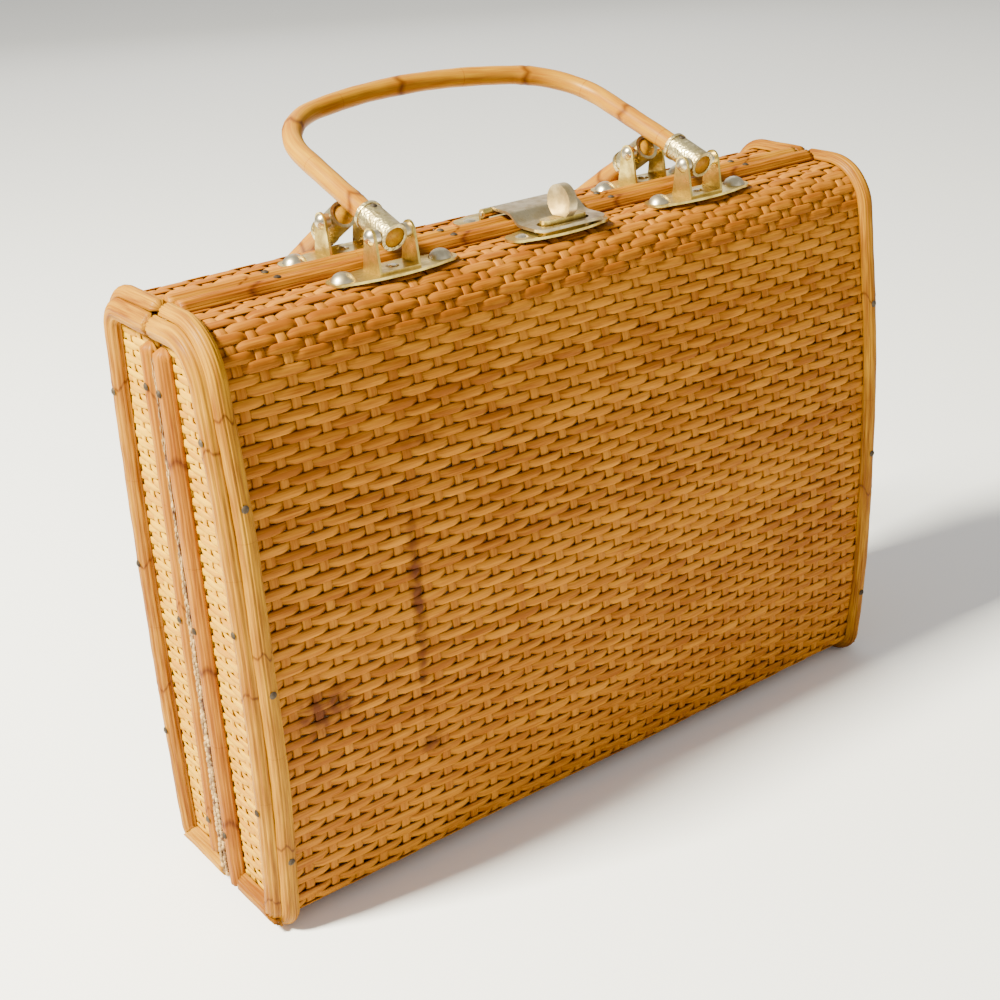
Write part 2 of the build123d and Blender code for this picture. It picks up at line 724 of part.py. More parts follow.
# ------------------------------------------------------------------ bottom hinges

def hinge_leaf(outer_knuckles):
    """Leaf of a small butt hinge, drawn on the rear tray's rim."""
    third = hinge_length / 3
    leaf_rear = rim_gap - hinge_seat_gap
    plate = block(-hinge_length / 2, hinge_length / 2, leaf_rear - hinge_leaf_thickness, leaf_rear,
                  hinge_z, hinge_leaf_top)
    clear = hinge_barrel_radius + hinge_knuckle_gap
    if outer_knuckles:
        spans = [(-hinge_length / 2, -third / 2), (third / 2, hinge_length / 2)]
        gaps = [(-third / 2 - hinge_knuckle_gap, third / 2 + hinge_knuckle_gap)]
    else:
        spans = [(-third / 2, third / 2)]
        gaps = [(-hinge_length / 2 - 1, -third / 2 + hinge_knuckle_gap),
                (third / 2 - hinge_knuckle_gap, hinge_length / 2 + 1)]
    leaf = plate
    for low, high in spans:
        leaf = leaf + round_bar(hinge_barrel_radius, (low, 0, hinge_z), (high, 0, hinge_z))
    for low, high in gaps:
        leaf = leaf - block(low, high, -5, 5, 0, hinge_z + clear)
    leaf = leaf - round_bar(hinge_pin_radius + hinge_pin_gap, (-20, 0, hinge_z), (20, 0, hinge_z))
    for offset in (-hinge_nail_spacing / 2, hinge_nail_spacing / 2):
        leaf = leaf - round_bar(nail_hole_radius, (offset, -5, hinge_nail_z), (offset, 5, hinge_nail_z))
    return leaf


def hinge_nails():
    """Small nails through one leaf into the rim hoop, heads flush in the gap."""
    nails = []
    for x in (-hinge_x, hinge_x):
        for offset in (-hinge_nail_spacing / 2, hinge_nail_spacing / 2):
            u = rim_gap - hinge_seat_gap - hinge_leaf_thickness
            nails.append(headed_pin((x + offset, u, hinge_nail_z), (0, -1, 0), nail_shank_radius,
                                    hinge_nail_length, hinge_nail_head_radius, hinge_nail_head_height))
    return nails


def hinge_nail_holes():
    holes = []
    for x in (-hinge_x, hinge_x):
        for offset in (-hinge_nail_spacing / 2, hinge_nail_spacing / 2):
            holes.append(round_bar(nail_hole_radius, (x + offset, 0, hinge_nail_z),
                                   (x + offset, rim_gap + hinge_nail_length + nail_tip_gap, hinge_nail_z)))
    return holes


# ------------------------------------------------------------------ assembly

def tray(name, outline, side):
    """All the pieces of one tray, keyed by node name; the front tray is the rear one reflected."""
    places = pole_nails(outline)
    holes = nail_holes(places)
    rivets_x = []
    for x in (-handle_spacing / 2, handle_spacing / 2):
        rivets_x.extend([x - rivet_spacing / 2, x, x + rivet_spacing / 2])
    rivets_x.extend(lock_rivets_x)
    rivet_holes = [rivet_hole(x) for x in rivets_x]
    pole_top = top_z - end_pole_width - rim_pole_end_gap
    if side < 0:
        rim_low = bottom_z + front_rim_foot_gap
        bottom_inner = rim_pole_centre_u(bottom_z) + end_pole_width / 2 + seat_gap
    else:
        rim_low = bottom_z + end_pole_width + seat_gap
        bottom_inner = rim_gap
    pieces = {
        "woven_face": [woven_face(outline) - holes - rivet_holes],
        "woven_ends": [wall - holes for wall in woven_ends(outline)],
        "right_face_pole": [face_pole(outline) - holes],
        "right_end_pole": [end_pole(outline) - holes],
        "bottom_end_poles": both_ends(bottom_end_pole(outline, bottom_inner)),
        "top_rim_pole": [top_rim_pole() - holes],
        "end_rim_poles": [pole - holes for pole in both_ends(end_rim_pole(rim_low, pole_top))],
        "bottom_rim_pole": [bottom_rim_pole()],
        "rim_hoop": [rim_hoop() - holes - hinge_nail_holes()],
        "frame_rods": [rod - holes for rod in both_ends(frame_rod(outline))],
        "top_batten": [top_batten(outline) - rivet_holes],
        "lining": [lining(outline)],
        "braid": [braid()],
        "hinge_leaves": [Pos(x, 0, 0) * hinge_leaf(side > 0) for x in (-hinge_x, hinge_x)],
        "hinge_nails": hinge_nails(),
    }
    pieces["left_face_pole"] = [mirror(pieces["right_face_pole"][0], Plane.YZ)]
    pieces["left_end_pole"] = [mirror(pieces["right_end_pole"][0], Plane.YZ)]
    nails = []
    for base, way in places:
        nail = headed_pin(base, way, nail_shank_radius, nail_length, nail_head_radius,
                          nail_head_height)
        nails.extend(both_ends(nail))
    pieces["pole_nails"] = nails
    spots = (-handle_spacing / 2, handle_spacing / 2)
    pieces["handle_plates"] = [handle_plate(x) for x in spots]
    pieces["clevises"] = [clevis(x) for x in spots]
    pieces["handle_pins"] = [pivot_pin(x) for x in spots]
    pieces["pivot_washers"] = pivot_washers(spots[0]) + pivot_washers(spots[1])
    domes = []
    for x in spots:
        for offset in (-rivet_spacing / 2, rivet_spacing / 2):
            domes.append(through_rivet(x + offset, plate_top_z, rivet_head_radius, rivet_head_height))
    for x in lock_rivets_x:
        domes.append(through_rivet(x, plate_top_z, lock_rivet_head_radius, lock_rivet_head_height))
    pieces["dome_rivets"] = domes
    flat_z = plate_top_z + clevis_thickness
    pieces["clevis_rivets"] = [through_rivet(x, flat_z, clevis_rivet_head_radius, clevis_rivet_head_height)
                               for x in spots]
    named = {}
    for key, solids in pieces.items():
        if side < 0:
            solids = [mirror(solid, Plane.XZ) for solid in solids]
        named[name + "_" + key] = solids
    return named


def handle(name, side, angle):
    return {
        name + "_handle_rod": [place_handle(handle_rod(), side, angle)],
        name + "_ferrules": [place_handle(part, side, angle) for part in ferrules()],
        name + "_ferrule_nails": [place_handle(part, side, angle) for part in ferrule_nails()],
    }


nodes = {}
nodes.update(tray("front", front_outline, -1))
nodes.update(tray("rear", rear_outline, 1))
nodes.update(handle("front", -1, front_handle_angle))
nodes.update(handle("rear", 1, rear_handle_angle))
nodes["lock_plate"] = [lock_plate()]
nodes["turn_knob"] = [turn_knob()]
nodes["hasp_base"] = [hasp_base()]
nodes["hasp_pin"] = [hasp_pin()]
nodes["hasp_plate"] = [hasp_plate()]
hinge_pin_reach = hinge_length / 2 + hinge_pin_overhang
nodes["hinge_pins"] = [round_bar(hinge_pin_radius, (x - hinge_pin_reach, 0, hinge_z),
                                 (x + hinge_pin_reach, 0, hinge_z)) for x in (-hinge_x, hinge_x)]

os.makedirs("parts", exist_ok=True)
for node, solids in nodes.items():
    export_step(Compound(children=solids) if len(solids) > 1 else solids[0], "parts/" + node + ".step")
print(len(nodes), "nodes")
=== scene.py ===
import bpy
import math
import random
import numpy as np
from mathutils import Matrix, Vector


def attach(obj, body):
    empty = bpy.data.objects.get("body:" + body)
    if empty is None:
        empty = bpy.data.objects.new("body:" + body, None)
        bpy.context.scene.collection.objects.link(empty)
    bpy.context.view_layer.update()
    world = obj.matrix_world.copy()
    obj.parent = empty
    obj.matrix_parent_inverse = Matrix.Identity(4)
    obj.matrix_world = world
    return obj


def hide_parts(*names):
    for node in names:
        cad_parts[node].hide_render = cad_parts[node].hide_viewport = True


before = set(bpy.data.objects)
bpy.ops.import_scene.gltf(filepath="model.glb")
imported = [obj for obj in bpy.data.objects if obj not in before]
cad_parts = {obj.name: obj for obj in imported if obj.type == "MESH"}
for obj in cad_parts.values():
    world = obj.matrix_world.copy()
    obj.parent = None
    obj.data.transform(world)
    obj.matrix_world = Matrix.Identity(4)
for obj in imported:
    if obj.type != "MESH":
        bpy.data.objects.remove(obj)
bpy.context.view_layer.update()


# ---------------------------------------------------------------- studio
# The bag stands on a pale floor under one strong warm light from the upper left, a
# little behind it. Two weak broad lights fill the front and the back.
floor_mesh = bpy.data.meshes.new("studio_floor")
floor_half = 6.0
floor_corners = [(x * floor_half, y * floor_half, 0) for x, y in ((-1, -1), (1, -1), (1, 1), (-1, 1))]
floor_mesh.from_pydata(floor_corners, [], [(0, 1, 2, 3)])
floor = bpy.data.objects.new("studio_floor", floor_mesh)
bpy.context.collection.objects.link(floor)
floor_paint = bpy.data.materials.new("pale_floor")
floor_paint.use_nodes = True
floor_shader = floor_paint.node_tree.nodes["Principled BSDF"]
floor_shader.inputs["Base Color"].default_value = (0.93, 0.93, 0.92, 1)
floor_shader.inputs["Roughness"].default_value = 0.9
floor_mesh.materials.append(floor_paint)


def soft_light(name, place, target, size, watts, colour):
    lamp = bpy.data.lights.new(name, "AREA")
    lamp.size = size
    lamp.energy = watts
    lamp.color = colour
    holder = bpy.data.objects.new(name, lamp)
    holder.location = place
    holder.rotation_euler = (Vector(target) - Vector(place)).to_track_quat("-Z", "Y").to_euler()
    bpy.context.collection.objects.link(holder)


bag_middle = (0.0, 0.0, 0.13)
soft_light("key_light", (-1.2, 0.20, 1.45), bag_middle, 0.32, 185, (1.0, 0.97, 0.80))
soft_light("front_fill", (0.2, -1.9, 0.9), bag_middle, 2.2, 6.8, (1.0, 0.95, 0.88))
soft_light("back_fill", (0.9, 1.7, 1.2), bag_middle, 1.8, 10, (1.0, 0.98, 0.95))
world = bpy.data.worlds.new("studio")
world.use_nodes = True
room_light = world.node_tree.nodes["Background"]
room_light.inputs["Color"].default_value = (1.0, 0.99, 0.97, 1)
room_light.inputs["Strength"].default_value = 0.55
bpy.context.scene.world = world

camera = bpy.data.objects.new("camera", bpy.data.cameras.new("camera"))
camera_azimuth = math.radians(-36.25)
camera_elevation = math.radians(24.47)
camera_roll = math.radians(-2.88)
camera_place = (-0.38050, -0.49027, 0.40392)
look = Vector((-math.sin(camera_azimuth) * math.cos(camera_elevation),
               math.cos(camera_azimuth) * math.cos(camera_elevation), -math.sin(camera_elevation)))
level = look.cross(Vector((0, 0, 1))).normalized()
rise = level.cross(look)
right = level * math.cos(camera_roll) + rise * math.sin(camera_roll)
up = rise * math.cos(camera_roll) - level * math.sin(camera_roll)
camera_turn = Matrix((right, up, -look)).transposed().to_4x4()
camera.matrix_world = Matrix.Translation(camera_place) @ camera_turn
camera.data.lens = 56.65
camera.data.sensor_width = 36.0
bpy.context.collection.objects.link(camera)
bpy.context.scene.camera = camera


# ---------------------------------------------------------------- woven faces
# Each tray's face is one mat of flat cane: reeds run along the bag, over and under
# upright stakes, and the mat is bent over the top, down the face and under the bottom.
mm = 0.001
half_length = 165.0 * mm
top_z = 243.0 * mm
bottom_z = 3.6 * mm
rim_gap = 1.5 * mm
foot_radius = 9.0 * mm
mat_thickness = 2.2 * mm
tray_side = {"front": -1, "rear": 1}


def run_along(points):
    """Distance travelled from the first point to each."""
    steps = np.linalg.norm(np.diff(points, axis=0), axis=1)
    return np.concatenate(([0.0], np.cumsum(steps)))


def unit(rows):
    return rows / np.linalg.norm(rows, axis=1)[:, None]


same_point = 1e-7
flat_points = 12
arc_points = 60


class Outline:
    """Section of a tray from the rim over the top, down the face and back under the bottom."""

    def __init__(self, bulge, bulge_z, face_radius, corner_radius):
        self.middle = np.array((bulge - face_radius, bulge_z)) * mm
        self.face_radius = face_radius * mm
        corner = self.bend_centre(top_z - corner_radius * mm, corner_radius * mm)
        foot = self.bend_centre(bottom_z + foot_radius, foot_radius)
        corner_angle = math.atan2(*(corner - self.middle)[::-1])
        foot_angle = math.atan2(*(foot - self.middle)[::-1])
        pieces = [self.flat(rim_gap, corner[0], top_z, 1.0),
                  self.arc(corner, corner_radius * mm, math.pi / 2, corner_angle),
                  self.arc(self.middle, self.face_radius, corner_angle, foot_angle),
                  self.arc(foot, foot_radius, foot_angle, -math.pi / 2),
                  self.flat(foot[0], rim_gap, bottom_z, -1.0)]
        line = np.concatenate(pieces)
        steps = np.linalg.norm(np.diff(line[:, :2], axis=0), axis=1)
        self.line = line[np.concatenate(([True], steps > same_point))]
        self.run = run_along(self.line[:, :2])
        self.length = self.run[-1]

    def bend_centre(self, z, radius):
        reach = self.face_radius - radius
        return np.array((self.middle[0] + math.sqrt(reach ** 2 - (z - self.middle[1]) ** 2), z))

    def flat(self, u_from, u_to, z, way):
        u = np.linspace(u_from, u_to, flat_points)
        return np.stack((u, np.full_like(u, z), np.zeros_like(u), np.full_like(u, way)), axis=1)

    def arc(self, centre, radius, start, end):
        angle = np.linspace(start, end, arc_points)
        return np.stack((centre[0] + radius * np.cos(angle), centre[1] + radius * np.sin(angle),
                         np.cos(angle), np.sin(angle)), axis=1)

    def at(self, run):
        """Place and outward direction (u, z, out_u, out_z) at each distance along the outline."""
        return [np.interp(run, self.run, self.line[:, k]) for k in range(4)]

    def face_u(self, z):
        return self.middle[0] + np.sqrt(self.face_radius ** 2 - (z - self.middle[1]) ** 2)


outlines = {"front": Outline(44.3, 95.0, 980.0, 20.0), "rear": Outline(42.0, 120.0, 1800.0, 12.0)}


far_from_knots = 1.0


class Strands:
    """Gathers many strips of cane, each a run of rings, into the mesh of one piece."""

    def __init__(self):
        self.points = []
        self.quads = []
        self.caps = []
        self.grain = []
        self.tone = []
        self.knot = []
        self.count = 0

    def add(self, rings, grain, tone, knot=None, mirrored=False):
        if mirrored:
            rings, grain = rings[:, ::-1], grain[:, ::-1]
        rows, sides, _ = rings.shape
        index = self.count + np.arange(rows * sides).reshape(rows, sides)
        turned = np.roll(index, -1, axis=1)
        quads = np.stack((index[:-1], turned[:-1], turned[1:], index[1:]), axis=-1).reshape(-1, 4)
        self.points.append(rings.reshape(-1, 3))
        self.quads.append(quads)
        self.caps += [index[0][::-1], index[-1]]
        self.grain.append(grain.reshape(-1, 3))
        self.tone.append(np.full(rows * sides, tone))
        self.knot.append(np.full(rows * sides, far_from_knots) if knot is None else knot.reshape(-1))
        self.count += rows * sides

    def mesh(self, name):
        mesh = bpy.data.meshes.new(name)
        points = np.concatenate(self.points)
        quads = np.concatenate(self.quads)
        faces = quads.tolist() + [cap.tolist() for cap in self.caps]
        mesh.from_pydata(points.tolist(), [], faces)
        for label, kind, field, values in (("grain", "FLOAT_VECTOR", "vector", self.grain),
                                           ("tone", "FLOAT", "value", self.tone),
                                           ("knot", "FLOAT", "value", self.knot)):
            layer = mesh.attributes.new(label, kind, "POINT")
            layer.data.foreach_set(field, np.concatenate(values).astype(np.float32).ravel())
        mesh.polygons.foreach_set("use_smooth", [True] * len(mesh.polygons))
        mesh.update()
        return mesh


def new_piece(name, strands, material, body, replaced=None):
    mesh = strands.mesh(name)
    piece = bpy.data.objects.new(name, mesh)
    bpy.context.collection.objects.link(piece)
    mesh.materials.append(material)
    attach(piece, body)
    if replaced:
        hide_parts(replaced)


# a split reed, seen end on: flat, with eased edges
reed_section = np.array([(-1.0, 0.0), (-0.82, 0.9), (0.0, 1.0), (0.82, 0.9), (1.0, 0.0), (0.0, -1.0)])


def reed_rings(centre, side, out, half_width, half_thickness):
    across = side[:, None, :] * (reed_section[None, :, 0:1] * half_width[:, None, None])
    through = out[:, None, :] * (reed_section[None, :, 1:2] * half_thickness)
    return centre[:, None, :] + across + through


def reed_grain(run, half_width, offset):
    rows = len(run)
    grain = np.zeros((rows, len(reed_section), 3))
    grain[:, :, 0] = reed_section[None, :, 0] * half_width[:, None] + offset
    grain[:, :, 1] = offset * 3.1
    grain[:, :, 2] = run[:, None] + offset * 7.7
    return grain


stake_lean = 0.10
lean_reach = 0.9 * half_length


def drift(x, depth):
    """How far a stake has wandered along the bag by this depth down the face."""
    return stake_lean * np.clip((x + half_length) / lean_reach, 0, 1) * depth


stake_pitch = 9.85 * mm
first_stake = 0.2             # of a pitch in from the end
stake_count = 35
row_pitch = 3.9 * mm
reed_half_width = 2.06 * mm
reed_half_thickness = 0.5 * mm
reed_wave = 0.68 * mm
stake_half_width = 2.05 * mm
stake_half_thickness = 0.42 * mm
stake_wave = 0.33 * mm
stake_lift = 0.12 * mm
lean_start = 30 * mm          # down the outline before the stakes begin to wander
mat_end_inset = 3.2 * mm      # the reeds' ends lie under the poles
stake_inset = 1.5 * mm
mat_edge = 0.3 * mm
least_stations = 6
# shares of a pitch where a reed is bent: flat over a stake, then steeply down beside the next
reed_bends = np.array([0.0, 0.20, 0.34, 0.5, 0.66, 0.80])


def stake_x(index, depth, shift):
    start = -half_length + (index + first_stake) * stake_pitch + shift
    return start + drift(start, depth)


def reed_stations(depth, reach):
    """Phase of the weave, whole numbers on the stakes, and x of each bend of a reed."""
    phase = (np.arange(-2, stake_count + 2)[:, None] + reed_bends[None, :]).ravel()
    x = stake_x(phase, depth, 0.0)
    inside = np.abs(x) < reach
    return phase[inside], x[inside]


def swell(x, z):
    """Slight unevenness of the mat, pushed in and out by hand."""
    return 0.35 * mm * np.sin(x * 37.0 + z * 21.0) + 0.3 * mm * np.sin(z * 47.0 - x * 13.0 + 1.3)


def woven_face(tray):
    outline = outlines[tray]
    way = tray_side[tray]
    draw = random.Random(11 if tray == "front" else 12)
    rows = int(outline.length / row_pitch)
    pitch = outline.length / rows
    reach = half_length - mat_end_inset
    reeds = Strands()
    for row in range(rows):
        wander = draw.uniform(-0.12, 0.12) * mm
        phase, x = reed_stations(max(0.0, (row + 0.5) * pitch - lean_start), reach)
        run = (row + 0.5) * pitch + wander + 0.35 * mm * np.sin(x * 31.0 + row * 0.35)
        run = np.clip(run, mat_edge, outline.length - mat_edge)
        u, z, out_u, out_z = outline.at(run)
        lift = np.tanh(3.2 * (np.cos(math.pi * (phase + row)) + 0.5))
        height = reed_wave * lift - mat_thickness / 2 + swell(x, z) * 0.5
        slope = np.gradient(height, x)
        centre = np.stack((x, way * (u + out_u * height), z + out_z * height), axis=1)
        out = unit(np.stack((-slope, way * out_u, out_z), axis=1))
        lean = draw.uniform(-0.05, 0.10)
        side = unit(np.stack((np.zeros_like(x), -way * out_z, out_u), axis=1) + out * lean)
        ripple = 1 + 0.04 * np.sin(x * 290 + row * 2.1) + draw.uniform(-0.05, 0.04)
        half_width = reed_half_width * ripple * (0.95 + 0.05 * lift)
        grain = reed_grain(x, half_width, draw.uniform(0, 1))
        rings = reed_rings(centre, side, out, half_width, reed_half_thickness)
        reeds.add(rings, grain, draw.random(), mirrored=way > 0)
    stakes = Strands()
    run = np.linspace(mat_edge, outline.length - mat_edge, rows * 2 + 1)
    u, z, out_u, out_z = outline.at(run)
    depth = np.maximum(0.0, run - lean_start)
    for index in range(stake_count):
        x = stake_x(index, depth, draw.uniform(-0.2, 0.2) * mm)
        inside = np.abs(x) < reach - stake_inset
        if inside.sum() < least_stations:
            continue
        lift = -np.cos(math.pi * (index + run / pitch - 0.5))
        height = stake_wave * lift - mat_thickness / 2 + stake_lift + swell(x, z) * 0.5
        centre = np.stack((x, way * (u + out_u * height), z + out_z * height), axis=1)[inside]
        out = np.stack((np.zeros_like(u), way * out_u, out_z), axis=1)[inside]
        side = np.tile(np.array((-way * 1.0, 0.0, 0.0)), (len(centre), 1))
        half_width = np.full(len(centre), stake_half_width * draw.uniform(0.9, 1.06))
        grain = reed_grain(run[inside], half_width, draw.uniform(0, 1))
        rings = reed_rings(centre, side, out, half_width, stake_half_thickness)
        stakes.add(rings, grain, draw.random(), mirrored=True)
    return reeds, stakes


def node(tree, kind, **values):
    made = tree.nodes.new(kind)
    for key, value in values.items():
        setattr(made, key, value)
    return made


def new_material(name):
    material = bpy.data.materials.new(name)
    material.use_nodes = True
    return material, material.node_tree, material.node_tree.nodes["Principled BSDF"]


def noise(tree, vector, scale, detail):
    made = node(tree, "ShaderNodeTexNoise")
    made.inputs["Scale"].default_value = scale
    made.inputs["Detail"].default_value = detail
    tree.links.new(vector, made.inputs["Vector"])
    return made


def stretched(tree, vector, scale):
    made = node(tree, "ShaderNodeMapping")
    made.inputs["Scale"].default_value = scale
    tree.links.new(vector, made.inputs["Vector"])
    return made.outputs["Vector"]


def two_tones(tree, amount, first, first_colour, second, second_colour):
    made = node(tree, "ShaderNodeValToRGB")
    stops = ((first, first_colour), (second, second_colour))
    for stop, (place, colour) in zip(made.color_ramp.elements, stops):
        stop.position = place
        stop.color = (*colour, 1)
    tree.links.new(amount, made.inputs["Fac"])
    return made.outputs["Color"]


def rescaled(tree, value, from_low, from_high, to_low, to_high):
    made = node(tree, "ShaderNodeMapRange")
    made.inputs["From Min"].default_value = from_low
    made.inputs["From Max"].default_value = from_high
    made.inputs["To Min"].default_value = to_low
    made.inputs["To Max"].default_value = to_high
    tree.links.new(value, made.inputs["Value"])
    return made.outputs["Result"]


def tinted(tree, amount, colour, tint):
    made = node(tree, "ShaderNodeMix", data_type="RGBA")
    tree.links.new(amount, made.inputs["Factor"])
    tree.links.new(colour, made.inputs["A"])
    made.inputs["B"].default_value = (*tint, 1)
    return made.outputs["Result"]


def weighted_sum(tree, first, second, first_share, second_share):
    one = node(tree, "ShaderNodeMath", operation="MULTIPLY")
    one.inputs[1].default_value = first_share
    tree.links.new(first, one.inputs[0])
    two = node(tree, "ShaderNodeMath", operation="MULTIPLY_ADD")
    two.inputs[1].default_value = second_share
    tree.links.new(second, two.inputs[0])
    tree.links.new(one.outputs[0], two.inputs[2])
    return two.outputs[0]


def rough_skin(tree, shader, height, strength, distance):
    bump = node(tree, "ShaderNodeBump")
    bump.inputs["Strength"].default_value = strength
    bump.inputs["Distance"].default_value = distance
    tree.links.new(height, bump.inputs["Height"])
    tree.links.new(bump.outputs["Normal"], shader.inputs["Normal"])


fibre_stretch = (2200, 2200, 70)      # fibres are long and thin along the cane
streak_stretch = (500, 500, 45)
stained_below_joint = 14 * mm
dull_spread = 0.22


def cane_material(name, pale, deep, knot_colour, stained=False, gloss=0.46, fibre_depth=0.3,
                  varnish=0.0, joint_width=1.0 * mm):
    """Varnished cane: long fibres, patches of tone, dark joints and a thin coat of varnish."""
    material, tree, shader = new_material(name)
    grain = node(tree, "ShaderNodeAttribute", attribute_name="grain")
    tone = node(tree, "ShaderNodeAttribute", attribute_name="tone")
    knot = node(tree, "ShaderNodeAttribute", attribute_name="knot")
    place = node(tree, "ShaderNodeTexCoord")
    fibre = noise(tree, stretched(tree, grain.outputs["Vector"], fibre_stretch), 1.0, 4.0).outputs["Fac"]
    streak = noise(tree, stretched(tree, grain.outputs["Vector"], streak_stretch), 1.0, 2.0).outputs["Fac"]
    patch = noise(tree, place.outputs["Object"], 14.0, 3.0).outputs["Fac"]
    mixed = weighted_sum(tree, fibre, streak, 0.55, 0.62)
    mixed = weighted_sum(tree, mixed, tone.outputs["Fac"], 1.0, 0.22)
    mixed = weighted_sum(tree, mixed, patch, 1.0, 0.30)
    colour = two_tones(tree, mixed, 0.64, pale, 1.0, deep)

    from_joint = node(tree, "ShaderNodeMath", operation="ABSOLUTE")
    tree.links.new(knot.outputs["Fac"], from_joint.inputs[0])
    from_joint = from_joint.outputs[0]
    colour = tinted(tree, rescaled(tree, from_joint, 0.0, joint_width, 0.97, 0.0), colour, knot_colour)
    warm = (deep[0] * 0.9, deep[1] * 0.72, deep[2] * 0.6)
    colour = tinted(tree, rescaled(tree, from_joint, 0.0, stained_below_joint, 0.45, 0.0), colour, warm)
    if stained:
        colour = water_marks(tree, place, colour)
    tree.links.new(colour, shader.inputs["Base Color"])

    tree.links.new(rescaled(tree, fibre, 0.0, 1.0, gloss, gloss + dull_spread), shader.inputs["Roughness"])
    shader.inputs["Specular IOR Level"].default_value = 0.09
    shader.inputs["Coat Weight"].default_value = varnish
    shader.inputs["Coat Roughness"].default_value = 0.3
    rough_skin(tree, shader, weighted_sum(tree, fibre, streak, 0.6, 0.5), fibre_depth, 0.25 * mm)
    return material


# old damp marks on the front face: middle, reach and strength of each
damp_marks = [((-0.094, -0.043, 0.120), (0.0038, 0.05, 0.052), 0.9),
              ((-0.140, -0.043, 0.092), (0.017, 0.05, 0.013), 0.9),
              ((-0.090, -0.043, 0.058), (0.009, 0.05, 0.006), 0.8),
              ((-0.085, -0.043, 0.185), (0.012, 0.05, 0.006), 0.35)]
damp_brown = (0.075, 0.014, 0.002)


def water_marks(tree, place, colour):
    """Darkens the cane where the damp got in, in broken blots."""
    speckle = noise(tree, place.outputs["Object"], 220.0, 3.0)
    for middle, reach, strength in damp_marks:
        shift = node(tree, "ShaderNodeMapping", vector_type="POINT")
        shift.inputs["Location"].default_value = tuple(-m / r for m, r in zip(middle, reach))
        shift.inputs["Scale"].default_value = tuple(1 / r for r in reach)
        tree.links.new(place.outputs["Object"], shift.inputs["Vector"])
        far = node(tree, "ShaderNodeVectorMath", operation="LENGTH")
        tree.links.new(shift.outputs["Vector"], far.inputs[0])
        uneven = node(tree, "ShaderNodeMath", operation="MULTIPLY_ADD")
        tree.links.new(speckle.outputs["Fac"], uneven.inputs[0])
        uneven.inputs[1].default_value = 1.6
        tree.links.new(far.outputs["Value"], uneven.inputs[2])
        near = rescaled(tree, uneven.outputs[0], 1.0, 1.75, strength, 0.0)
        colour = tinted(tree, near, colour, damp_brown)
    return colour


reed_cane = cane_material("woven_reed_cane", (0.41, 0.159, 0.006), (0.205, 0.058, 0.001),
                          (0.12, 0.03, 0.002), stained=True)
stake_cane = cane_material("woven_stake_cane", (0.39, 0.150, 0.009), (0.235, 0.070, 0.002),
                           (0.12, 0.03, 0.002), stained=True)
for tray in ("front", "rear"):
    reeds, stakes = woven_face(tray)
    new_piece(tray + "_face_reeds", reeds, reed_cane, tray + "_half", tray + "_woven_face")
    new_piece(tray + "_face_stakes", stakes, stake_cane, tray + "_half")


# ---------------------------------------------------------------- woven ends
# The end walls are woven closer, from narrow cane, round upright stakes. Their edges
# are nailed under the poles.
end_row_pitch = 2.8 * mm
end_stake_pitch = 9.0 * mm
end_stake_start = 8.0 * mm
end_stake_count = 5
end_reed_half_width = 1.52 * mm
end_reed_half_thickness = 0.42 * mm
end_reed_wave = 0.52 * mm
end_reed_points = 26
end_stake_half_width = 1.7 * mm
end_stake_half_thickness = 0.4 * mm
end_stake_wave = 0.2 * mm
end_stake_lift = 0.1 * mm
end_margin = 2 * mm
corner_depth = 8 * mm         # the rows this near the top stop short of the round corner
corner_inset = 6 * mm
end_reed_inset = 1.0 * mm     # short of the face
end_stake_inset = 3 * mm
end_cane = cane_material("end_wall_cane", (0.66, 0.365, 0.002), (0.45, 0.19, 0.001), (0.2, 0.08, 0.004))


